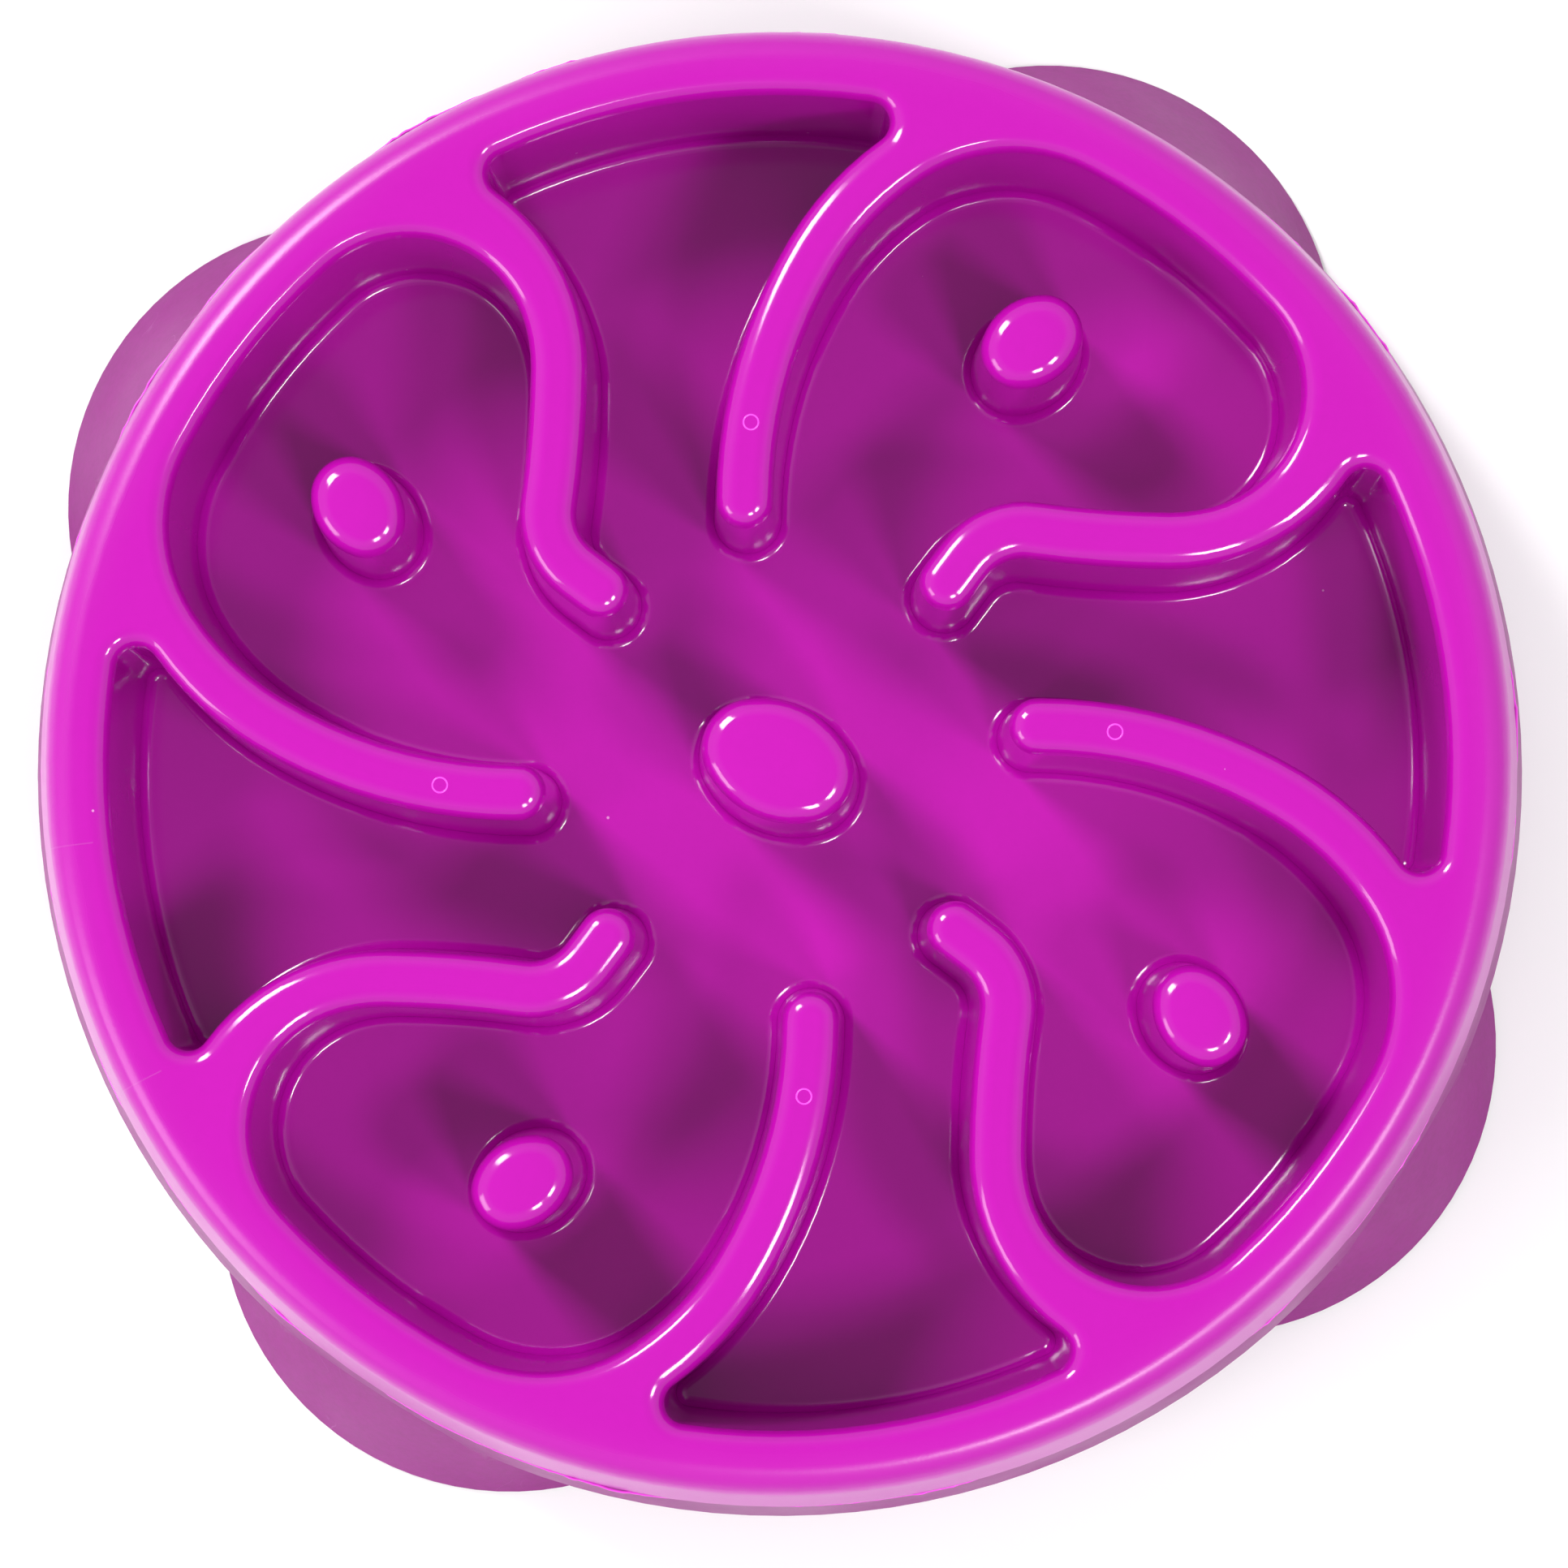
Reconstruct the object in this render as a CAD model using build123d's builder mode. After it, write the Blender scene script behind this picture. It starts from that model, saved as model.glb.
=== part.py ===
from build123d import *
import os
from math import atan2, cos, degrees, hypot, radians, sin, tan

# Slow feeder bowl: a glossy maze tray welded onto a satin base pan, on four soft pads.
# Millimetres, +Z up. The origin is on the ground under the centre post.
# The plan repeats every quarter turn and has no mirror plane.

# ---- driving dimensions -------------------------------------------------------------------
QUARTERS = 4
HEIGHT = 46.0                 # ground to the top of the rim and ridges
WALL = 2.1                    # wall of both mouldings
ROUND_STEPS = 2               # bands that make up each rounded top
ROLL_STEPS = 4                # bands that make up the roll of the rim

# tray: rim, chambers and floor
CHAMBER_R = 93.9              # rim-side wall of the chambers
RIM_FLAT_R = 98.6             # where the crown of the rim starts to roll over
RIM_ROLL_R = 4.6              # radius of the outer roll
RIM_EDGE_R = 105.5            # lower edge of the rim wall
RIM_EDGE_Z = 28.0
RIM_INNER_R = 100.4           # inside of the rim wall, under the crown
FLOOR_Z = 11.5                # floor of the chambers
RIDGE_W = 8.0                 # width of the ridges
TOP_ROUND = 2.3               # rounding along the ridge tops and the inner rim

# arc ridges: start of the centre line, then two arcs that run out under the rim
ARC_START = (36.5, 4.6)
ARC_R1, ARC_TURN1 = 68.0, -31.0
ARC_R2, ARC_TURN2 = 43.0, -56.0

# hooked ridges: a short straight tip, a tight elbow, a long easy stretch, a counter curve
HOOK_START = (23.9, 24.9)
HOOK_ANGLE = 53.0
HOOK_TIP_L = 4.2
HOOK_R1, HOOK_TURN1 = 10.2, -61.0
HOOK_R2, HOOK_TURN2 = 149.0, 7.3
HOOK_R3, HOOK_TURN3 = 26.7, 84.0

# corners of the chambers, in plan
PETAL_ARC_CORNER_R = 23.0     # petal, where the arc ridge meets the rim
PETAL_HOOK_CORNER_R = 17.0    # petal, where the hooked ridge meets the rim
NARROW_CORNER_R = 3.0         # both rim corners of the narrow chambers

# posts
POST_TOP_Z = 42.0
POST_R = 69.4                 # petal posts, from the axis
POST_ANGLE = -31.2
POST_OVAL = (6.2, 9.0, 5.5)   # half width, radius of the sides, radius of the ends
POST_TURN = -24.0             # long axis, from the radius through the post
CENTRE_POST_OVAL = (8.4, 14.0, 7.0)
CENTRE_POST_ANGLE = -25.0
POST_ROUND = 2.0

# base pan
SHOULDER_R = 108.1            # widest ring of the collar
SHOULDER_Z = 11.8
SHOULDER_CUT = 1.2
COLLAR_TOP_R = 105.2
PAN_BOTTOM_R = 97.0
PAN_BOTTOM_Z = 2.4
PAN_CORNER_CUT = 2.5          # where the wall turns into the flat bottom
FOOT_Z = 1.0                  # underside of the flared feet and of the foot ring
FOOT_ANGLE = 57.7
FOOT_REACH = 116.6            # from the axis to the end of a foot
FOOT_PLAN_R = 42.6
FOOT_FLARE = 28.0             # slope of the foot's face from upright, degrees
FOOT_RING_R = 90.0            # inside of the low ring that joins the four feet
TONGUE_H = 3.2                # tongue that centres the tray on the pan
TONGUE_GAP = 0.2
TONGUE_T = 2.0
RIB_T = 1.6

# pads
PAD_AT_R = 103.5
PAD_SIZE = (11.0, 30.0)       # along the radius, and across it
PAD_CORNER_CUT = 3.0
PAD_SEAT = 1.3                # depth of the seat in the foot
PAD_GAP = 0.15
PAD_EDGE_CUT = 0.5
GROOVES = 3                   # grip grooves across each sole
GROOVE_PITCH = 7.0
GROOVE = 1.2

os.makedirs("parts", exist_ok=True)


# ---- plan of the maze ----------------------------------------------------------------------
with BuildLine() as arc_spine:
    first = JernArc(ARC_START, (1, 0), ARC_R1, ARC_TURN1)
    JernArc(first @ 1, first % 1, ARC_R2, ARC_TURN2)

with BuildLine() as hook_spine:
    tip = PolarLine(HOOK_START, HOOK_TIP_L, HOOK_ANGLE)
    elbow = JernArc(tip @ 1, tip % 1, HOOK_R1, HOOK_TURN1)
    run = JernArc(elbow @ 1, elbow % 1, HOOK_R2, HOOK_TURN2)
    JernArc(run @ 1, run % 1, HOOK_R3, HOOK_TURN3)


def quarter_angle(vertex):
    """Angle of a corner within its own quarter turn, degrees."""
    return degrees(atan2(vertex.Y, vertex.X)) % (360 / QUARTERS)


def maze_plan(grow):
    """The open area: a disc less the eight ridges, rounded at the rim and grown by a wall."""
    rim_r = CHAMBER_R + grow
    with BuildSketch() as plan:
        Circle(rim_r)
        with PolarLocations(0, QUARTERS):
            SlotArc(arc_spine.wire(), RIDGE_W - 2 * grow, mode=Mode.SUBTRACT)
            SlotArc(hook_spine.wire(), RIDGE_W - 2 * grow, mode=Mode.SUBTRACT)
        # going round a quarter turn, the rim is met four times
        corners = plan.vertices().filter_by(lambda v: abs(hypot(v.X, v.Y) - rim_r) < 0.01)
        corners = corners.sort_by(quarter_angle)
        radii = (NARROW_CORNER_R, PETAL_HOOK_CORNER_R, PETAL_ARC_CORNER_R, NARROW_CORNER_R)
        for place, radius in enumerate(radii):
            spots = corners[place * QUARTERS:(place + 1) * QUARTERS]
            fillet([plan.vertices().sort_by_distance(spot)[0] for spot in spots], radius + grow)
    return plan.sketch


def round_levels(top_z, radius, steps=ROUND_STEPS):
    """Levels up a rounded edge, and how far the outline stands back at each of them."""
    levels = []
    for step in range(steps + 1):
        turn = radians(90 * step / steps)
        levels.append((top_z - radius * (1 - sin(turn)), radius * (1 - cos(turn))))
    return levels


# ---- feeder tray ---------------------------------------------------------------------------
tray_under_z = FLOOR_Z - WALL

posts = [((0, 0), CENTRE_POST_OVAL, CENTRE_POST_ANGLE)]
for quarter in range(QUARTERS):
    angle = POST_ANGLE + quarter * 360 / QUARTERS
    spot = (POST_R * cos(radians(angle)), POST_R * sin(radians(angle)))
    posts.append((spot, POST_OVAL, angle + POST_TURN))


def post_section(spot, oval, turn, z, grow):
    """Outline of one post at a level: two wide arcs with rounded ends."""
    half_w, side_r, end_r = oval
    long_way = (cos(radians(turn)), sin(radians(turn)), 0)
    with BuildSketch(Plane((*spot, z), x_dir=long_way, z_dir=(0, 0, 1))) as section:
        with Locations((0, side_r - half_w)):
            Circle(side_r + grow)
        with Locations((0, half_w - side_r)):
            Circle(side_r + grow, mode=Mode.INTERSECT)
        fillet(section.vertices(), end_r + grow)
    return section.sketch


def chamber_section(z, grow):
    """Outline of the open chambers at a level."""
    with BuildSketch(Plane.XY.offset(z)) as section:
        add(maze_plan(grow))
    return section.sketch


with BuildPart() as feeder_tray:
    # crown, outer roll and rim wall, with a groove behind the rim wall, as one turned body
    with BuildSketch(Plane.XZ) as rim_section:
        with BuildLine():
            roll = round_levels(HEIGHT, RIM_ROLL_R, ROLL_STEPS)
            crown = Polyline([(RIM_FLAT_R + RIM_ROLL_R - back, z) for z, back in roll])
            Polyline(
                crown @ 0, (RIM_EDGE_R, RIM_EDGE_Z), (RIM_EDGE_R - WALL, RIM_EDGE_Z),
                (RIM_INNER_R, HEIGHT - WALL), (CHAMBER_R + WALL, HEIGHT - WALL),
                (CHAMBER_R + WALL, tray_under_z), (0, tray_under_z), (0, HEIGHT), crown @ 1)
        make_face()
    revolve(axis=Axis.Z)

    # chambers: straight walls from the floor up, then the rounded tops
    levels = [(FLOOR_Z, 0)] + round_levels(HEIGHT, TOP_ROUND)
    loft([chamber_section(z, grow) for z, grow in levels], ruled=True, mode=Mode.SUBTRACT)

    # posts: oval, with rounded tops
    for spot, oval, turn in posts:
        levels = [(FLOOR_Z, 0)] + round_levels(POST_TOP_Z, POST_ROUND)
        loft([post_section(spot, oval, turn, z, -back) for z, back in levels], ruled=True)

feeder_tray.part.label = "feeder_tray"
export_step(feeder_tray.part, "parts/feeder_tray.step")


# ---- base pan ------------------------------------------------------------------------------
def foot_places():
    return PolarLocations(FOOT_REACH - FOOT_PLAN_R, QUARTERS, start_angle=FOOT_ANGLE)


def pad_plan(grow, angle=FOOT_ANGLE, count=QUARTERS):
    """Oblongs with cut corners, one under each foot."""
    with BuildSketch() as plan:
        with PolarLocations(PAD_AT_R, count, start_angle=angle):
            Rectangle(PAD_SIZE[0] + 2 * grow, PAD_SIZE[1] + 2 * grow)
        chamfer(plan.vertices(), PAD_CORNER_CUT)
    return plan.sketch


foot_h = RIM_EDGE_Z - FOOT_Z - 4
pan_floor_z = PAN_BOTTOM_Z + WALL
lip_r = COLLAR_TOP_R - WALL
tongue_r = RIM_EDGE_R - WALL - TONGUE_GAP

with BuildPart() as base_pan:
    # outside: four flared feet buried in the turned body
    with BuildSketch(Plane.XY.offset(FOOT_Z)):
        with foot_places():
            Circle(FOOT_PLAN_R)
    extrude(amount=foot_h, taper=FOOT_FLARE)
    with BuildSketch(Plane.XZ) as outer_section:
        with BuildLine():
            Polyline(
                (0, FOOT_Z), (PAN_BOTTOM_R - 1, FOOT_Z), (SHOULDER_R, SHOULDER_Z),
                (COLLAR_TOP_R, RIM_EDGE_Z), (0, RIM_EDGE_Z), close=True)
        make_face()
        corner = outer_section.vertices().sort_by_distance((PAN_BOTTOM_R - 1, FOOT_Z))[0]
        chamfer(corner, PAN_CORNER_CUT)
        shoulder = outer_section.vertices().sort_by_distance((SHOULDER_R, SHOULDER_Z))[0]
        chamfer(shoulder, SHOULDER_CUT)
    revolve(axis=Axis.Z)

    # underneath: the bottom cleared inside the foot ring, and the seats of the pads
    with BuildSketch(Plane.XY.offset(FOOT_Z)):
        Circle(FOOT_RING_R)
    extrude(amount=PAN_BOTTOM_Z - FOOT_Z, mode=Mode.SUBTRACT)
    with BuildSketch(Plane.XY.offset(FOOT_Z)):
        add(pad_plan(PAD_GAP))
    extrude(amount=PAD_SEAT, mode=Mode.SUBTRACT)

    # inside: an even wall, a ledge for the tray's edge and a tongue that centres the tray
    with BuildSketch(Plane.XZ):
        with BuildLine():
            Polyline(
                (0, pan_floor_z), (PAN_BOTTOM_R - 1, pan_floor_z), (SHOULDER_R - WALL, SHOULDER_Z),
                (tongue_r - TONGUE_T, RIM_EDGE_Z - 1), (tongue_r - TONGUE_T, RIM_EDGE_Z),
                (0, RIM_EDGE_Z), close=True)
        make_face()
    revolve(axis=Axis.Z, mode=Mode.SUBTRACT)
    with BuildSketch(Plane.XZ):
        with BuildLine():
            Polyline(
                (tongue_r - TONGUE_T, RIM_EDGE_Z), (tongue_r, RIM_EDGE_Z),
                (tongue_r - 0.8, RIM_EDGE_Z + TONGUE_H),
                (tongue_r - TONGUE_T, RIM_EDGE_Z + TONGUE_H), close=True)
        make_face()
    revolve(axis=Axis.Z)

    # ribs that carry the floor of the tray
    with BuildSketch(Plane.XY.offset(pan_floor_z)):
        with PolarLocations(0, QUARTERS, angular_range=180):
            Rectangle(2 * PAN_BOTTOM_R - 4 * WALL, RIB_T)
    extrude(amount=tray_under_z - pan_floor_z)

base_pan.part.label = "base_pan"
export_step(base_pan.part, "parts/base_pan.step")


# ---- foot pads -----------------------------------------------------------------------------
def make_pad(name, angle):
    """A soft pad with a grooved sole, pressed into its seat in the foot."""
    with BuildPart() as pad:
        with BuildSketch():
            add(pad_plan(0, angle, 1))
        extrude(amount=FOOT_Z + PAD_SEAT)
        chamfer(pad.faces().sort_by(Axis.Z)[0].edges(), PAD_EDGE_CUT)
        with BuildSketch():
            with PolarLocations(PAD_AT_R, 1, start_angle=angle):
                with GridLocations(0, GROOVE_PITCH, 1, GROOVES):
                    Rectangle(PAD_SIZE[0] + 1, GROOVE)
        extrude(amount=GROOVE / 2, mode=Mode.SUBTRACT)
    pad.part.label = name
    export_step(pad.part, f"parts/{name}.step")


for quarter, corner in enumerate(("ne", "nw", "sw", "se")):
    make_pad(f"foot_pad_{corner}", FOOT_ANGLE + quarter * 360 / QUARTERS)
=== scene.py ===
from math import cos, hypot, pi, radians, sin, tan, tau

import bmesh
import bpy
from mathutils import Matrix, Vector
from mathutils.noise import noise as perlin


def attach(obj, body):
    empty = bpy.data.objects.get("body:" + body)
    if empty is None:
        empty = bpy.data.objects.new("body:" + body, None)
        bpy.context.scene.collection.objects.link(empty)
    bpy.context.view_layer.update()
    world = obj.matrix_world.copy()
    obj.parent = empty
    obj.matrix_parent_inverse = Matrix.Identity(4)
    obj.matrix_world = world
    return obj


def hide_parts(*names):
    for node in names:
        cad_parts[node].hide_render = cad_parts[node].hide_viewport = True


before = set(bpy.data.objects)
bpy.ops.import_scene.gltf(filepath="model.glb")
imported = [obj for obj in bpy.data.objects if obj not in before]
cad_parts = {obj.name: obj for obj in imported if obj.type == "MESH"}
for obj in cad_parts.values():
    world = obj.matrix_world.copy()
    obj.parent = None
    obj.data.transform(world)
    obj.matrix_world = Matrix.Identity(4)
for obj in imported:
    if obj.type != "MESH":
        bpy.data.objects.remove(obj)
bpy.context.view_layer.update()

bl_info = {
    "name": "Slow feeder bowl",
    "version": (1, 0, 0),
    "blender": (4, 5, 0),
    "location": "View3D > Sidebar > Slow feeder",
    "description": "Dresses the moulded parts of a slow feeder bowl and sets up its studio",
    "category": "Object",
}

MM = 0.001
QUARTERS = 4
POSTS = QUARTERS + 1
PHOTO_WIDTH = 1932.0       # pixels
SENSOR_WIDTH = 36.0        # millimetres, as Blender's camera has it

# distances from the axis that tell the parts of the shapes apart
RIM_WALL_R = 104.5 * MM    # the outer rim wall lies outside this
PAN_OUTSIDE_R = 92 * MM    # and the visible outside of the pan outside this
RIM_LINE_R = 0.0965        # where the rim's hairlines start
RIM_SATIN_R = (0.0945, 0.1005)

TOPS_DEPTH = 6 * MM        # everything rounded at the tops lies within this of the ridge tops
LIP_ROUND = 0.25 * MM
POST_STEP = 0.9 * MM       # width of each ring of faces in a post's dome
POST_SHOULDER = 3.5 * MM   # how far a post goes on beyond its flat top
POST_DOME_DEPTH = 2.5 * MM
GATE_WIRE_R = 0.16 * MM
GATE_SINK = 0.09 * MM      # the middle of a gate ring lies this far under the ridge top
FLOOR_GAP = 0.02 * MM      # keeps the floor clear of the pads' soles

PALE_MARK = (0.85, 0.45, 0.78)   # specks and hairlines on the gloss

# angles of the hairlines left across the rim by the mould, from the right
HAIRLINES = (radians(187.0), radians(206.9))

# each soft box: its name, place, width and height in metres, and power in watts
SOFT_BOXES = (
    ("key_box", (-0.80, 0.80, 1.20), (0.35, 0.55), 17.0),
    ("left_box", (-1.15, -0.60, 0.75), (0.60, 0.60), 6.5),
    ("low_box_near", (0.36, -0.76, 1.30), (0.24, 0.24), 6.0),
    ("low_box_far", (0.72, -0.46, 1.30), (0.24, 0.24), 6.0),
)


# ---- settings ------------------------------------------------------------------------------
class TraySettings(bpy.types.PropertyGroup):
    """Glossy upper moulding."""

    colour: bpy.props.FloatVectorProperty(
        name="Tray colour", description="Pigment of the glossy tray", subtype="COLOR",
        size=3, min=0.0, max=1.0, default=(0.45, 0.004, 0.365))
    roughness: bpy.props.FloatProperty(
        name="Gloss roughness", description="Roughness of the polished face", subtype="FACTOR",
        min=0.0, max=1.0, default=0.10)
    rim_satin: bpy.props.FloatProperty(
        name="Rim satin", description="How much rougher the handled outer rim is",
        subtype="FACTOR", min=0.0, max=1.0, default=0.22)
    peel_height: bpy.props.FloatProperty(
        name="Flow ripple", description="Height of the soft ripple left by the moulding",
        unit="LENGTH", min=0.0, default=0.00001)
    gate_radius: bpy.props.FloatProperty(
        name="Gate mark radius", description="Radius of the small ring at each gate",
        unit="LENGTH", min=0.0, default=0.00105)
    gate_distance: bpy.props.FloatProperty(
        name="Gate distance", description="Distance of the gate marks from the axis",
        unit="LENGTH", min=0.0, default=0.0474)
    gate_angle: bpy.props.FloatProperty(
        name="Gate angle", description="Angle of the first gate mark from the right",
        unit="ROTATION", default=radians(4.5))
    top_height: bpy.props.FloatProperty(
        name="Ridge height", description="Height of the ridge tops above the ground",
        unit="LENGTH", default=0.046)
    post_height: bpy.props.FloatProperty(
        name="Post height", description="Height of the post tops above the ground",
        unit="LENGTH", default=0.042)
    floor_height: bpy.props.FloatProperty(
        name="Floor height", description="Height of the chamber floor above the ground",
        unit="LENGTH", default=0.0115)
    edge_height: bpy.props.FloatProperty(
        name="Rim edge height", description="Height of the lower edge of the rim",
        unit="LENGTH", default=0.028)
    draft: bpy.props.FloatProperty(
        name="Draft", description="Slope of the chamber walls and the posts from upright",
        unit="ROTATION", default=radians(1.6))
    floor_round: bpy.props.FloatProperty(
        name="Floor rounding", description="Radius where the walls meet the floor",
        unit="LENGTH", min=0.0, default=0.0016)
    dome: bpy.props.FloatProperty(
        name="Post dome", description="How far the shoulders of a post lie below a flat top",
        unit="LENGTH", min=0.0, default=0.0012)
    top_round: bpy.props.FloatProperty(
        name="Top rounding", description="How far each facet edge of the tops is rounded back",
        unit="LENGTH", min=0.0, default=0.0008)


class PanSettings(bpy.types.PropertyGroup):
    """Satin lower moulding and the weld line above it."""

    colour: bpy.props.FloatVectorProperty(
        name="Pan colour", description="Pigment of the satin base pan", subtype="COLOR",
        size=3, min=0.0, max=1.0, default=(0.25, 0.004, 0.19))
    roughness: bpy.props.FloatProperty(
        name="Satin roughness", description="Roughness of the satin face", subtype="FACTOR",
        min=0.0, max=1.0, default=0.42)
    weld_radius: bpy.props.FloatProperty(
        name="Weld line radius", description="Distance of the weld bead from the axis",
        unit="LENGTH", min=0.0, default=0.1052)
    weld_height: bpy.props.FloatProperty(
        name="Weld line height", description="Height of the weld bead above the ground",
        unit="LENGTH", min=0.0, default=0.0279)
    weld_thickness: bpy.props.FloatProperty(
        name="Weld line thickness", description="Radius of the thin, even part of the bead",
        unit="LENGTH", min=0.0, default=0.00022)
    weld_swell: bpy.props.FloatProperty(
        name="Weld line swell", description="How far the bead bulges out in its thick places",
        unit="LENGTH", min=0.0, default=0.00055)
    crease_round: bpy.props.FloatProperty(
        name="Crease rounding", description="How far the creases round the feet are filled out",
        unit="LENGTH", min=0.0, default=0.0012)
    turn_round: bpy.props.FloatProperty(
        name="Turn rounding", description="How far each outer turn is rounded back",
        unit="LENGTH", min=0.0, default=0.0007)


class PadSettings(bpy.types.PropertyGroup):
    """Soft pads under the feet."""

    colour: bpy.props.FloatVectorProperty(
        name="Pad colour", description="Colour of the soft pads", subtype="COLOR",
        size=3, min=0.0, max=1.0, default=(0.18, 0.03, 0.14))


class StudioSettings(bpy.types.PropertyGroup):
    """Camera and floor."""

    camera_place: bpy.props.FloatVectorProperty(
        name="Camera place", description="Position of the camera", subtype="TRANSLATION",
        size=3, unit="LENGTH", default=(0.0070, -0.0460, 0.9027))
    camera_aim: bpy.props.FloatVectorProperty(
        name="Camera aim", description="Direction the camera looks in", subtype="DIRECTION",
        size=3, default=(-0.0071, 0.0495, -1.0))
    camera_roll: bpy.props.FloatProperty(
        name="Camera roll", description="Turn of the camera about its own axis",
        unit="ROTATION", default=-0.0003)
    focal_pixels: bpy.props.FloatProperty(
        name="Focal length in pixels", description="Focal length for a 1932 pixel frame",
        min=1.0, default=7554.0)
    floor_size: bpy.props.FloatProperty(
        name="Floor size", description="Side of the pale floor", unit="LENGTH", default=6.0)
    floor_colour: bpy.props.FloatVectorProperty(
        name="Floor colour", description="Colour of the floor", subtype="COLOR",
        size=3, min=0.0, max=1.0, default=(0.96, 0.96, 0.96))


SETTINGS = {
    "feeder_tray_look": TraySettings,
    "base_pan_look": PanSettings,
    "foot_pad_look": PadSettings,
    "studio_look": StudioSettings,
}


# ---- node groups that the materials share --------------------------------------------------
def new_group(name, inputs, outputs):
    """A shader node group with float or colour sockets, and its two end nodes."""
    group = bpy.data.node_groups.new(name, "ShaderNodeTree")
    for label, kind, value in inputs:
        socket = group.interface.new_socket(label, in_out="INPUT", socket_type=kind)
        if value is not None:
            socket.default_value = value
    for label, kind in outputs:
        group.interface.new_socket(label, in_out="OUTPUT", socket_type=kind)
    start = group.nodes.new("NodeGroupInput")
    end = group.nodes.new("NodeGroupOutput")
    start.location, end.location = (-900, 0), (700, 0)
    return group, start, end


def node(tree, kind, place, **values):
    """A node at a place, with its plain settings."""
    made = tree.nodes.new(kind)
    made.location = place
    for key, value in values.items():
        setattr(made, key, value)
    return made


def noise(tree, place, vector, scale, detail=2.0, roughness=0.5):
    """A noise texture read at a vector."""
    made = node(tree, "ShaderNodeTexNoise", place)
    made.inputs["Scale"].default_value = scale
    made.inputs["Detail"].default_value = detail
    made.inputs["Roughness"].default_value = roughness
    tree.links.new(vector, made.inputs["Vector"])
    return made


def fade(tree, place, value, low, high, to_low=0.0, to_high=1.0):
    """A value taken from one range to another and clamped."""
    made = node(tree, "ShaderNodeMapRange", place, clamp=True)
    made.inputs["From Min"].default_value = low
    made.inputs["From Max"].default_value = high
    made.inputs["To Min"].default_value = to_low
    made.inputs["To Max"].default_value = to_high
    tree.links.new(value, made.inputs["Value"])
    return made.outputs["Result"]


def sum_of(tree, place, a, b, operation="ADD"):
    """Two values put together by one operation."""
    made = node(tree, "ShaderNodeMath", place, operation=operation)
    for socket, value in zip(made.inputs, (a, b)):
        if isinstance(value, (int, float)):
            socket.default_value = value
        else:
            tree.links.new(value, socket)
    return made.outputs["Value"]


def mottle_group():
    """Broad and fine unevenness of pigment: a value near 1 that a colour is multiplied by."""
    group, start, end = new_group(
        "pigment_mottle",
        [("Vector", "NodeSocketVector", None), ("Broad Scale", "NodeSocketFloat", 30.0),
         ("Fine Scale", "NodeSocketFloat", 700.0), ("Amount", "NodeSocketFloat", 0.05)],
        [("Factor", "NodeSocketFloat")])
    broad = noise(group, (-600, 200), start.outputs["Vector"], 30.0, 3.0)
    group.links.new(start.outputs["Broad Scale"], broad.inputs["Scale"])
    fine = noise(group, (-600, -100), start.outputs["Vector"], 700.0, 2.0)
    group.links.new(start.outputs["Fine Scale"], fine.inputs["Scale"])
    both = sum_of(group, (-350, 50), broad.outputs["Fac"], fine.outputs["Fac"])
    centred = sum_of(group, (-150, 50), both, 1.0, "SUBTRACT")
    scaled = sum_of(group, (50, 50), centred, start.outputs["Amount"], "MULTIPLY")
    group.links.new(sum_of(group, (250, 50), scaled, 1.0), end.inputs["Factor"])
    return group


def dust_group():
    """Sparse specks: a mask that is 1 inside each tiny dot and 0 elsewhere."""
    group, start, end = new_group(
        "fine_dust",
        [("Vector", "NodeSocketVector", None), ("Scale", "NodeSocketFloat", 260.0),
         ("Dot Size", "NodeSocketFloat", 0.06), ("Share", "NodeSocketFloat", 0.02)],
        [("Mask", "NodeSocketFloat")])
    cells = node(group, "ShaderNodeTexVoronoi", (-600, 100), feature="F1")
    group.links.new(start.outputs["Vector"], cells.inputs["Vector"])
    group.links.new(start.outputs["Scale"], cells.inputs["Scale"])
    close = sum_of(
        group, (-350, 150), cells.outputs["Distance"], start.outputs["Dot Size"], "LESS_THAN")
    split = node(group, "ShaderNodeSeparateColor", (-350, -50))
    group.links.new(cells.outputs["Color"], split.inputs["Color"])
    picked = sum_of(group, (-150, -50), split.outputs["Red"], start.outputs["Share"], "LESS_THAN")
    group.links.new(sum_of(group, (50, 50), close, picked, "MULTIPLY"), end.inputs["Mask"])
    return group


def scuff_group():
    """Thin broken scratches: a mask from one stretched noise crossed with a patchy one."""
    group, start, end = new_group(
        "light_scuffs",
        [("Vector", "NodeSocketVector", None), ("Scale", "NodeSocketFloat", 90.0),
         ("Sharpness", "NodeSocketFloat", 0.006)],
        [("Mask", "NodeSocketFloat")])
    turned = node(group, "ShaderNodeMapping", (-700, 150))
    turned.inputs["Rotation"].default_value = (0.0, 0.0, 0.7)
    turned.inputs["Scale"].default_value = (1.0, 0.06, 1.0)
    group.links.new(start.outputs["Vector"], turned.inputs["Vector"])
    lines = noise(group, (-500, 150), turned.outputs["Vector"], 90.0, 0.0)
    group.links.new(start.outputs["Scale"], lines.inputs["Scale"])
    centred = sum_of(group, (-300, 150), lines.outputs["Fac"], 0.5, "SUBTRACT")
    size = node(group, "ShaderNodeMath", (-150, 150), operation="ABSOLUTE")
    group.links.new(centred, size.inputs[0])
    thin = sum_of(group, (0, 150), size.outputs["Value"], start.outputs["Sharpness"], "LESS_THAN")
    patches = noise(group, (-500, -150), start.outputs["Vector"], 70.0, 1.0)
    here = fade(group, (-150, -150), patches.outputs["Fac"], 0.62, 0.72)
    group.links.new(sum_of(group, (250, 0), thin, here, "MULTIPLY"), end.inputs["Mask"])
    return group


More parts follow.
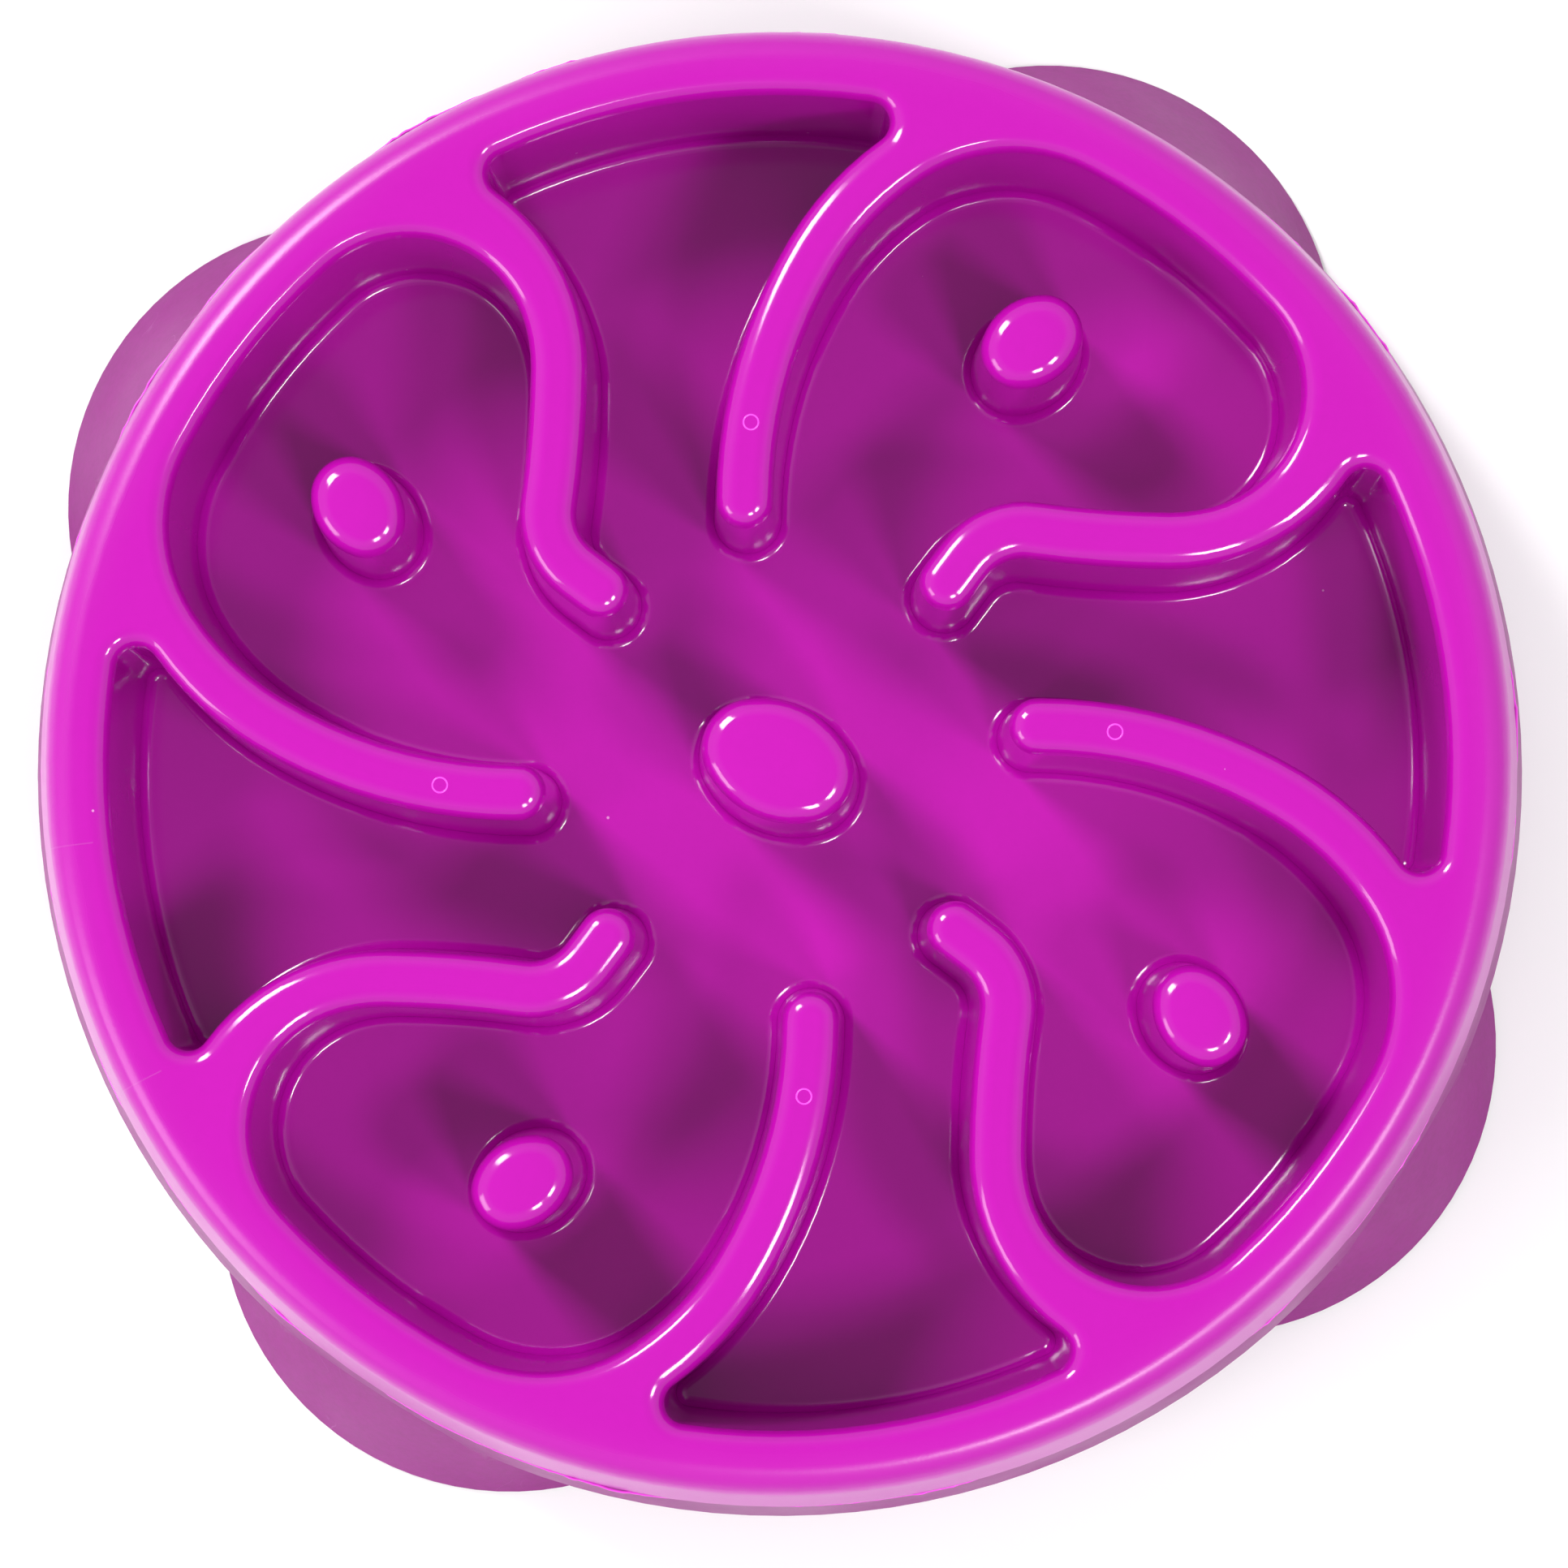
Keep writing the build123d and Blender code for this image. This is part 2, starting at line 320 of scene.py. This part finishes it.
def hairline_group():
    """A fine straight line from the axis outwards, at one angle, on the rim alone."""
    group, start, end = new_group(
        "rim_hairline",
        [("Vector", "NodeSocketVector", None), ("Angle", "NodeSocketFloat", 0.0),
         ("Half Width", "NodeSocketFloat", 0.0001)],
        [("Mask", "NodeSocketFloat")])
    turned = node(group, "ShaderNodeVectorRotate", (-700, 100), rotation_type="Z_AXIS", invert=True)
    group.links.new(start.outputs["Vector"], turned.inputs["Vector"])
    group.links.new(start.outputs["Angle"], turned.inputs["Angle"])
    split = node(group, "ShaderNodeSeparateXYZ", (-500, 100))
    group.links.new(turned.outputs["Vector"], split.inputs["Vector"])
    size = node(group, "ShaderNodeMath", (-300, 100), operation="ABSOLUTE")
    group.links.new(split.outputs["Y"], size.inputs[0])
    thin = sum_of(
        group, (-100, 100), size.outputs["Value"], start.outputs["Half Width"], "LESS_THAN")
    outer = sum_of(group, (-100, -100), split.outputs["X"], RIM_LINE_R, "GREATER_THAN")
    group.links.new(sum_of(group, (150, 0), thin, outer, "MULTIPLY"), end.inputs["Mask"])
    return group


GROUP_MAKERS = {
    "pigment_mottle": mottle_group,
    "fine_dust": dust_group,
    "light_scuffs": scuff_group,
    "rim_hairline": hairline_group,
}


def placed_group(tree, name, place, **values):
    """A shared group in a material, built the first time it is asked for."""
    if name not in bpy.data.node_groups:
        GROUP_MAKERS[name]()
    made = node(tree, "ShaderNodeGroup", place, node_tree=bpy.data.node_groups[name])
    for label, value in values.items():
        made.inputs[label.replace("_", " ")].default_value = value
    return made


def new_material(name, roughness):
    """A material with its Principled shader and its object coordinates."""
    material = bpy.data.materials.new(name)
    material.use_nodes = True
    tree = material.node_tree
    shader = tree.nodes["Principled BSDF"]
    shader.inputs["Roughness"].default_value = roughness
    coords = node(tree, "ShaderNodeTexCoord", (-1400, 0))
    return material, tree, shader, coords.outputs["Object"]


def tinted(tree, place, colour, factor):
    """A colour multiplied by a value near one."""
    mix = node(tree, "ShaderNodeMix", place, data_type="RGBA", blend_type="MULTIPLY")
    mix.inputs["Factor"].default_value = 1.0
    mix.inputs["A"].default_value = (*colour, 1.0)
    tree.links.new(factor, mix.inputs["B"])
    return mix.outputs["Result"]


def mixed(tree, place, factor, first, second):
    """A mix of two colours, each a socket or a plain colour."""
    mix = node(tree, "ShaderNodeMix", place, data_type="RGBA")
    tree.links.new(factor, mix.inputs["Factor"])
    for label, value in (("A", first), ("B", second)):
        if isinstance(value, bpy.types.NodeSocket):
            tree.links.new(value, mix.inputs[label])
        else:
            mix.inputs[label].default_value = (*value, 1.0)
    return mix.outputs["Result"]


def gloss_material(look):
    """Polished plastic of the tray: soft ripple, a satin rim, a few specks, two hairlines."""
    material, tree, shader, where = new_material("tray_gloss", look.roughness)
    mottle = placed_group(tree, "pigment_mottle", (-1000, 300), Broad_Scale=22.0, Amount=0.04)
    tree.links.new(where, mottle.inputs["Vector"])
    pigment = tinted(tree, (-700, 300), look.colour, mottle.outputs["Factor"])
    dust = placed_group(tree, "fine_dust", (-1000, 0), Scale=240.0, Dot_Size=0.05, Share=0.02)
    tree.links.new(where, dust.inputs["Vector"])
    pale = fade(tree, (-700, 50), dust.outputs["Mask"], 0.0, 1.0, 0.0, 0.5)
    dusty = mixed(tree, (-400, 300), pale, pigment, PALE_MARK)
    lines = None
    for step, angle in enumerate(HAIRLINES):
        line = placed_group(tree, "rim_hairline", (-1000, -850 - 200 * step), Angle=angle)
        tree.links.new(where, line.inputs["Vector"])
        mask = line.outputs["Mask"]
        lines = mask if lines is None else sum_of(tree, (-700, -850), lines, mask)
    faint = fade(tree, (-400, 500), lines, 0.0, 1.0, 0.0, 0.05)
    marked = mixed(tree, (-200, 300), faint, dusty, PALE_MARK)
    tree.links.new(marked, shader.inputs["Base Color"])

    wiped = noise(tree, (-1000, -200), where, 35.0, 4.0)
    gloss = fade(
        tree, (-700, -200), wiped.outputs["Fac"], 0.35, 0.7,
        look.roughness * 0.8, look.roughness * 1.35)
    level = node(tree, "ShaderNodeMapping", (-1200, -350))
    level.inputs["Scale"].default_value = (1.0, 1.0, 0.0)
    tree.links.new(where, level.inputs["Vector"])
    away = node(tree, "ShaderNodeVectorMath", (-1000, -350), operation="LENGTH")
    tree.links.new(level.outputs["Vector"], away.inputs[0])
    rim = fade(tree, (-700, -350), away.outputs["Value"], *RIM_SATIN_R)
    satin = sum_of(tree, (-500, -350), rim, look.rim_satin, "MULTIPLY")
    tree.links.new(sum_of(tree, (-300, -200), gloss, satin), shader.inputs["Roughness"])
    shader.inputs["Specular IOR Level"].default_value = 0.5

    ripple = noise(tree, (-1000, -500), where, 160.0, 2.0)
    bump = node(tree, "ShaderNodeBump", (-400, -500))
    bump.inputs["Strength"].default_value = 1.0
    bump.inputs["Distance"].default_value = look.peel_height
    grain = noise(tree, (-1000, -650), where, 2200.0, 1.0)
    handled = sum_of(tree, (-850, -650), grain.outputs["Fac"], rim, "MULTIPLY")
    height = sum_of(tree, (-700, -550), ripple.outputs["Fac"], handled)
    tree.links.new(sum_of(tree, (-550, -650), height, lines), bump.inputs["Height"])
    tree.links.new(bump.outputs["Normal"], shader.inputs["Normal"])
    return material


def satin_material(look):
    """Spark-eroded satin of the base pan, with mottled pigment and a few scuffs."""
    material, tree, shader, where = new_material("pan_satin", look.roughness)
    mottle = placed_group(
        tree, "pigment_mottle", (-1000, 300), Broad_Scale=55.0, Fine_Scale=900.0, Amount=0.28)
    tree.links.new(where, mottle.inputs["Vector"])
    pigment = tinted(tree, (-700, 300), look.colour, mottle.outputs["Factor"])
    scuffs = placed_group(tree, "light_scuffs", (-1000, 0), Scale=300.0)
    tree.links.new(where, scuffs.inputs["Vector"])
    worn = fade(tree, (-700, 50), scuffs.outputs["Mask"], 0.0, 1.0, 0.0, 0.22)
    scuffed = mixed(tree, (-400, 300), worn, pigment, (0.55, 0.20, 0.48))
    tree.links.new(scuffed, shader.inputs["Base Color"])
    rubbed = noise(tree, (-1000, -200), where, 50.0, 4.0)
    satin = fade(
        tree, (-700, -200), rubbed.outputs["Fac"], 0.3, 0.7,
        look.roughness * 0.85, look.roughness * 1.2)
    tree.links.new(satin, shader.inputs["Roughness"])
    shader.inputs["Specular IOR Level"].default_value = 0.25
    grain = noise(tree, (-1000, -500), where, 2600.0, 2.0, 0.6)
    bump = node(tree, "ShaderNodeBump", (-400, -500))
    bump.inputs["Strength"].default_value = 0.5
    bump.inputs["Distance"].default_value = 0.00002
    tree.links.new(grain.outputs["Fac"], bump.inputs["Height"])
    tree.links.new(bump.outputs["Normal"], shader.inputs["Normal"])
    return material


def rubber_material(look):
    """Matt soft rubber with a fine pebble and some dust picked up from the floor."""
    material, tree, shader, where = new_material("pad_rubber", 0.75)
    mottle = placed_group(
        tree, "pigment_mottle", (-1000, 300), Broad_Scale=60.0, Fine_Scale=1500.0, Amount=0.15)
    tree.links.new(where, mottle.inputs["Vector"])
    pigment = tinted(tree, (-700, 300), look.colour, mottle.outputs["Factor"])
    dust = placed_group(tree, "fine_dust", (-1000, 0), Scale=900.0, Dot_Size=0.2, Share=0.12)
    tree.links.new(where, dust.inputs["Vector"])
    pale = fade(tree, (-700, 50), dust.outputs["Mask"], 0.0, 1.0, 0.0, 0.3)
    dusty = mixed(tree, (-400, 300), pale, pigment, (0.45, 0.38, 0.42))
    tree.links.new(dusty, shader.inputs["Base Color"])
    pebble = node(tree, "ShaderNodeTexVoronoi", (-1000, -500), feature="SMOOTH_F1")
    pebble.inputs["Scale"].default_value = 1400.0
    tree.links.new(where, pebble.inputs["Vector"])
    bump = node(tree, "ShaderNodeBump", (-400, -500))
    bump.inputs["Strength"].default_value = 0.6
    bump.inputs["Distance"].default_value = 0.00008
    tree.links.new(pebble.outputs["Distance"], bump.inputs["Height"])
    tree.links.new(bump.outputs["Normal"], shader.inputs["Normal"])
    return material


# ---- meshes --------------------------------------------------------------------------------
def finish_piece(name, shape, material):
    """A finished mesh object from a bmesh, riding on the bowl."""
    mesh = bpy.data.meshes.new(name)
    shape.to_mesh(mesh)
    shape.free()
    mesh.materials.append(material)
    piece = bpy.data.objects.new(name, mesh)
    bpy.context.scene.collection.objects.link(piece)
    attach(piece, "root")
    return piece


def welded_copy(source):
    """A CAD node's mesh as a bmesh, its facets welded and its flat faces made whole."""
    shape = bmesh.new()
    shape.from_mesh(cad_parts[source].data)
    bmesh.ops.remove_doubles(shape, verts=shape.verts, dist=0.002 * MM)
    bmesh.ops.dissolve_degenerate(shape, dist=0.002 * MM, edges=shape.edges)
    bmesh.ops.dissolve_limit(
        shape, angle_limit=radians(0.5), use_dissolve_boundaries=False,
        verts=shape.verts, edges=shape.edges, delimit=set())
    return shape


def rounded(shape, edges, offset, segments):
    """Round a set of edges off."""
    bmesh.ops.bevel(
        shape, geom=edges, offset=offset, offset_type="OFFSET", affect="EDGES",
        segments=segments, profile=0.5, material=-1, clamp_overlap=True)


def dressed_node(shape, source, name, material, edge_angle):
    """Finish a shape that stands for a CAD node, shaded smooth up to its real edges."""
    bmesh.ops.recalc_face_normals(shape, faces=shape.faces)
    for face in shape.faces:
        face.smooth = True
        face.material_index = 0
    piece = finish_piece(name, shape, material)
    if "custom_normal" in piece.data.attributes:
        piece.data.attributes.remove(piece.data.attributes["custom_normal"])
    piece.data.set_sharp_from_angle(angle=edge_angle)
    weigh = piece.modifiers.new("even_shading", "WEIGHTED_NORMAL")
    weigh.keep_sharp = True
    weigh.weight = 80
    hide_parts(source)
    return piece


def near(value, level):
    """Whether a height is at a level."""
    return abs(value - level) < 0.02 * MM


def at_level(edge, level):
    """Whether both ends of an edge are at a height."""
    return all(near(vert.co.z, level) for vert in edge.verts)


def dome_posts(shape, look):
    """Turn the flat tops of the five posts into soft domes, without making them any taller."""
    tops = [
        face for face in shape.faces
        if face.normal.z > 0.999 and near(face.calc_center_median().z, look.post_height)
        and all(other.normal.z < 0.999 for edge in face.edges for other in edge.link_faces
                if other is not face)]
    if len(tops) != POSTS:
        raise RuntimeError(f"{len(tops)} post tops were found, not {POSTS}")
    for top in tops:
        centre = top.calc_center_median().xy
        reach = max((vert.co.xy - centre).length for vert in top.verts) + POST_SHOULDER
        for _ in range(3):
            bmesh.ops.inset_region(
                shape, faces=[top], thickness=POST_STEP, use_boundary=True, use_even_offset=True)
        for vert in shape.verts:
            away = (vert.co.xy - centre).length
            if away < reach and vert.co.z > look.post_height - POST_DOME_DEPTH:
                vert.co.z -= look.dome * (away / reach) ** 2


def tray_shape(look):
    """The maze tray with drafted walls, rounded tops and a rounded turn into the floor."""
    shape = welded_copy("feeder_tray")
    foot = [
        edge for edge in shape.edges
        if at_level(edge, look.floor_height) and edge.calc_face_angle(0.0) > 1.2]

    # the walls lean back as they rise, so their feet move out over the floor
    lean = tan(look.draft) * (look.top_height - look.floor_height)
    pushes = {}
    for edge in foot:
        for face in edge.link_faces:
            if abs(face.normal.z) < 0.5:
                for vert in edge.verts:
                    pushes[vert] = pushes.get(vert, Vector((0, 0, 0))) + face.normal.xy.to_3d()
    for vert, push in pushes.items():
        bmesh.ops.translate(shape, verts=[vert], vec=push.normalized() * lean)

    rounded(shape, foot, look.floor_round, 5)
    facets = [
        edge for edge in shape.edges
        if edge.is_convex and 0.25 < edge.calc_face_angle(0.0) < 1.0
        and min(vert.co.z for vert in edge.verts) > look.top_height - TOPS_DEPTH]
    rounded(shape, facets, look.top_round, 3)
    dome_posts(shape, look)
    lip = [
        edge for edge in shape.edges
        if at_level(edge, look.edge_height) and edge.calc_face_angle(0.0) > 1.0
        and hypot(*edge.verts[0].co.xy) > RIM_WALL_R]
    rounded(shape, lip, LIP_ROUND, 2)
    bmesh.ops.dissolve_degenerate(shape, dist=0.001 * MM, edges=shape.edges)
    return shape


def faces_out(edge):
    """Whether an edge of the pan lies between two faces that look outwards or down."""
    out = edge.verts[0].co.xy.to_3d().normalized()
    return all(face.normal.dot(out) > 0.05 or face.normal.z < -0.9 for face in edge.link_faces)


def pan_shape(look):
    """The base pan with its outer turns and the creases round its feet rounded off."""
    shape = welded_copy("base_pan")
    outer = [
        edge for edge in shape.edges
        if faces_out(edge) and hypot(*edge.verts[0].co.xy) > PAN_OUTSIDE_R
        and max(vert.co.z for vert in edge.verts) < look.weld_height]
    turns = [edge for edge in outer if edge.is_convex and 0.3 < edge.calc_face_angle(0.0) < 1.3]
    creases = [
        edge for edge in outer if not edge.is_convex and edge.calc_face_angle(0.0) > 0.12]
    rounded(shape, turns, look.turn_round, 3)
    creases = [edge for edge in creases if edge.is_valid]
    rounded(shape, creases, look.crease_round, 4)
    return shape


# ---- operators -----------------------------------------------------------------------------
class SLOWFEEDER_OT_tray(bpy.types.Operator):
    """Dress the glossy maze tray"""

    bl_idname = "slowfeeder.tray"
    bl_label = "Maze tray"

    def execute(self, context):
        look = context.scene.feeder_tray_look
        dressed_node(
            tray_shape(look), "feeder_tray", "maze_tray", gloss_material(look),
            radians(40))
        return {"FINISHED"}


class SLOWFEEDER_OT_gate_marks(bpy.types.Operator):
    """Add the small ring left at each gate, one on every arc ridge"""

    bl_idname = "slowfeeder.gate_marks"
    bl_label = "Gate marks"

    def execute(self, context):
        look = context.scene.feeder_tray_look
        material = bpy.data.materials["tray_gloss"]
        for quarter in range(QUARTERS):
            angle = look.gate_angle + quarter * tau / QUARTERS
            shape = bmesh.new()
            ring = bmesh.ops.create_circle(shape, segments=10, radius=GATE_WIRE_R)
            bmesh.ops.rotate(shape, verts=ring["verts"], matrix=Matrix.Rotation(pi / 2, 3, "X"))
            bmesh.ops.translate(shape, verts=ring["verts"], vec=(look.gate_radius, 0, 0))
            bmesh.ops.spin(
                shape, geom=shape.edges[:], cent=(0, 0, 0), axis=(0, 0, 1), dvec=(0, 0, 0),
                angle=tau, steps=40, use_merge=True)
            spot = Vector((cos(angle), sin(angle), 0)) * look.gate_distance
            spot.z = look.top_height - GATE_SINK
            bmesh.ops.translate(shape, verts=shape.verts, vec=spot)
            bmesh.ops.recalc_face_normals(shape, faces=shape.faces)
            for face in shape.faces:
                face.smooth = True
            finish_piece(f"gate_mark_{quarter + 1}", shape, material)
        return {"FINISHED"}


class SLOWFEEDER_OT_pan(bpy.types.Operator):
    """Dress the satin base pan"""

    bl_idname = "slowfeeder.pan"
    bl_label = "Base pan"

    def execute(self, context):
        look = context.scene.base_pan_look
        dressed_node(
            pan_shape(look), "base_pan", "satin_pan", satin_material(look),
            radians(40))
        return {"FINISHED"}


class SLOWFEEDER_OT_weld_line(bpy.types.Operator):
    """Add the thin uneven bead squeezed out where the rim is welded to the pan"""

    bl_idname = "slowfeeder.weld_line"
    bl_label = "Weld line"

    def execute(self, context):
        look = context.scene.base_pan_look
        shape = bmesh.new()
        ring = bmesh.ops.create_circle(shape, segments=8, radius=look.weld_thickness)
        bmesh.ops.rotate(shape, verts=ring["verts"], matrix=Matrix.Rotation(pi / 2, 3, "X"))
        bmesh.ops.translate(shape, verts=ring["verts"], vec=(look.weld_radius, 0, look.weld_height))
        bmesh.ops.spin(
            shape, geom=shape.edges[:], cent=(0, 0, 0), axis=(0, 0, 1), dvec=(0, 0, 0),
            angle=tau, steps=900, use_merge=True)
        for vert in shape.verts:
            out = vert.co.xy.to_3d().normalized()
            patchy = max(0.0, perlin(out * 7.0) + 0.1) * (0.6 + max(0.0, perlin(out * 60.0)))
            vert.co += out * look.weld_swell * min(1.0, 1.6 * patchy)
        bmesh.ops.recalc_face_normals(shape, faces=shape.faces)
        for face in shape.faces:
            face.smooth = True
        finish_piece("weld_line", shape, bpy.data.materials["tray_gloss"])
        return {"FINISHED"}


class SLOWFEEDER_OT_pads(bpy.types.Operator):
    """Dress the soft pads under the feet"""

    bl_idname = "slowfeeder.pads"
    bl_label = "Foot pads"

    def execute(self, context):
        material = rubber_material(context.scene.foot_pad_look)
        for corner in ("ne", "nw", "sw", "se"):
            dressed_node(
                welded_copy(f"foot_pad_{corner}"), f"foot_pad_{corner}", f"soft_pad_{corner}",
                material, radians(32))
        return {"FINISHED"}


class SLOWFEEDER_OT_stage(bpy.types.Operator):
    """Set up the pale floor, the soft studio light and the camera"""

    bl_idname = "slowfeeder.stage"
    bl_label = "Studio"

    def execute(self, context):
        look = context.scene.studio_look
        make_floor(look)
        make_lights()
        make_camera(context, look)
        return {"FINISHED"}


def make_floor(look):
    """A wide pale floor that isn't part of the bowl."""
    shape = bmesh.new()
    bmesh.ops.create_grid(shape, x_segments=1, y_segments=1, size=look.floor_size / 2)
    mesh = bpy.data.meshes.new("studio_floor")
    shape.to_mesh(mesh)
    shape.free()
    material = bpy.data.materials.new("pale_floor")
    material.use_nodes = True
    shader = material.node_tree.nodes["Principled BSDF"]
    shader.inputs["Base Color"].default_value = (*look.floor_colour, 1.0)
    shader.inputs["Roughness"].default_value = 0.6
    mesh.materials.append(material)
    mesh.transform(Matrix.Translation((0, 0, -FLOOR_GAP)))
    floor = bpy.data.objects.new("studio_floor", mesh)
    bpy.context.scene.collection.objects.link(floor)


def softbox(name, place, aim, size, power):
    """A rectangular area light turned towards a point."""
    light = bpy.data.lights.new(name, "AREA")
    light.shape = "RECTANGLE"
    light.size, light.size_y = size
    light.energy = power
    lamp = bpy.data.objects.new(name, light)
    lamp.location = place
    lamp.rotation_euler = (Vector(aim) - Vector(place)).to_track_quat("-Z", "Y").to_euler()
    bpy.context.scene.collection.objects.link(lamp)


def make_lights():
    """A white surround, dimmer overhead, with soft boxes at the sides."""
    world = bpy.data.worlds.new("studio_surround")
    world.use_nodes = True
    tree = world.node_tree
    backdrop = tree.nodes["Background"]
    coords = node(tree, "ShaderNodeTexCoord", (-900, 0))
    split = node(tree, "ShaderNodeSeparateXYZ", (-700, 0))
    tree.links.new(coords.outputs["Generated"], split.inputs["Vector"])
    level = fade(tree, (-500, 0), split.outputs["Z"], 0.75, 0.93, 0.70, 0.32)
    tree.links.new(level, backdrop.inputs["Strength"])
    backdrop.inputs["Color"].default_value = (1.0, 1.0, 1.0, 1.0)
    bpy.context.scene.world = world
    for name, place, size, power in SOFT_BOXES:
        softbox(name, place, (0, 0, 0.03), size, power)


def make_camera(context, look):
    """The photograph's camera, from its focal length in pixels."""
    data = bpy.data.cameras.new("photo_camera")
    data.sensor_fit = "HORIZONTAL"
    data.sensor_width = SENSOR_WIDTH
    data.lens = look.focal_pixels / PHOTO_WIDTH * SENSOR_WIDTH
    data.clip_start, data.clip_end = 0.01, 20.0
    camera = bpy.data.objects.new("photo_camera", data)
    aim = Vector(look.camera_aim).normalized()
    right = Vector((1, 0, 0)) - aim * aim.x
    right.normalize()
    up = right.cross(aim)
    turn = Matrix((right, up, -aim)).transposed().to_4x4()
    roll = Matrix.Rotation(look.camera_roll, 4, "Z")
    camera.matrix_world = Matrix.Translation(look.camera_place) @ turn @ roll
    context.scene.collection.objects.link(camera)
    context.scene.camera = camera
    context.scene.view_settings.view_transform = "Standard"


class SLOWFEEDER_PT_panel(bpy.types.Panel):
    """Lists the bowl's pieces and its studio"""

    bl_label = "Slow feeder bowl"
    bl_idname = "SLOWFEEDER_PT_panel"
    bl_space_type = "VIEW_3D"
    bl_region_type = "UI"
    bl_category = "Slow feeder"

    def draw(self, context):
        for operator in OPERATORS:
            self.layout.operator(operator.bl_idname)
        for name, group in SETTINGS.items():
            box = self.layout.box()
            for key in group.__annotations__:
                box.prop(getattr(context.scene, name), key)


OPERATORS = (
    SLOWFEEDER_OT_tray,
    SLOWFEEDER_OT_gate_marks,
    SLOWFEEDER_OT_pan,
    SLOWFEEDER_OT_weld_line,
    SLOWFEEDER_OT_pads,
    SLOWFEEDER_OT_stage,
)


def register():
    for name, group in SETTINGS.items():
        bpy.utils.register_class(group)
        setattr(bpy.types.Scene, name, bpy.props.PointerProperty(type=group))
    for operator in OPERATORS:
        bpy.utils.register_class(operator)
    bpy.utils.register_class(SLOWFEEDER_PT_panel)


def unregister():
    bpy.utils.unregister_class(SLOWFEEDER_PT_panel)
    for operator in reversed(OPERATORS):
        bpy.utils.unregister_class(operator)
    for name, group in reversed(SETTINGS.items()):
        delattr(bpy.types.Scene, name)
        bpy.utils.unregister_class(group)


def main():
    register()
    bpy.ops.slowfeeder.tray()
    bpy.ops.slowfeeder.gate_marks()
    bpy.ops.slowfeeder.pan()
    bpy.ops.slowfeeder.weld_line()
    bpy.ops.slowfeeder.pads()
    bpy.ops.slowfeeder.stage()


if __name__ == "__main__":
    main()
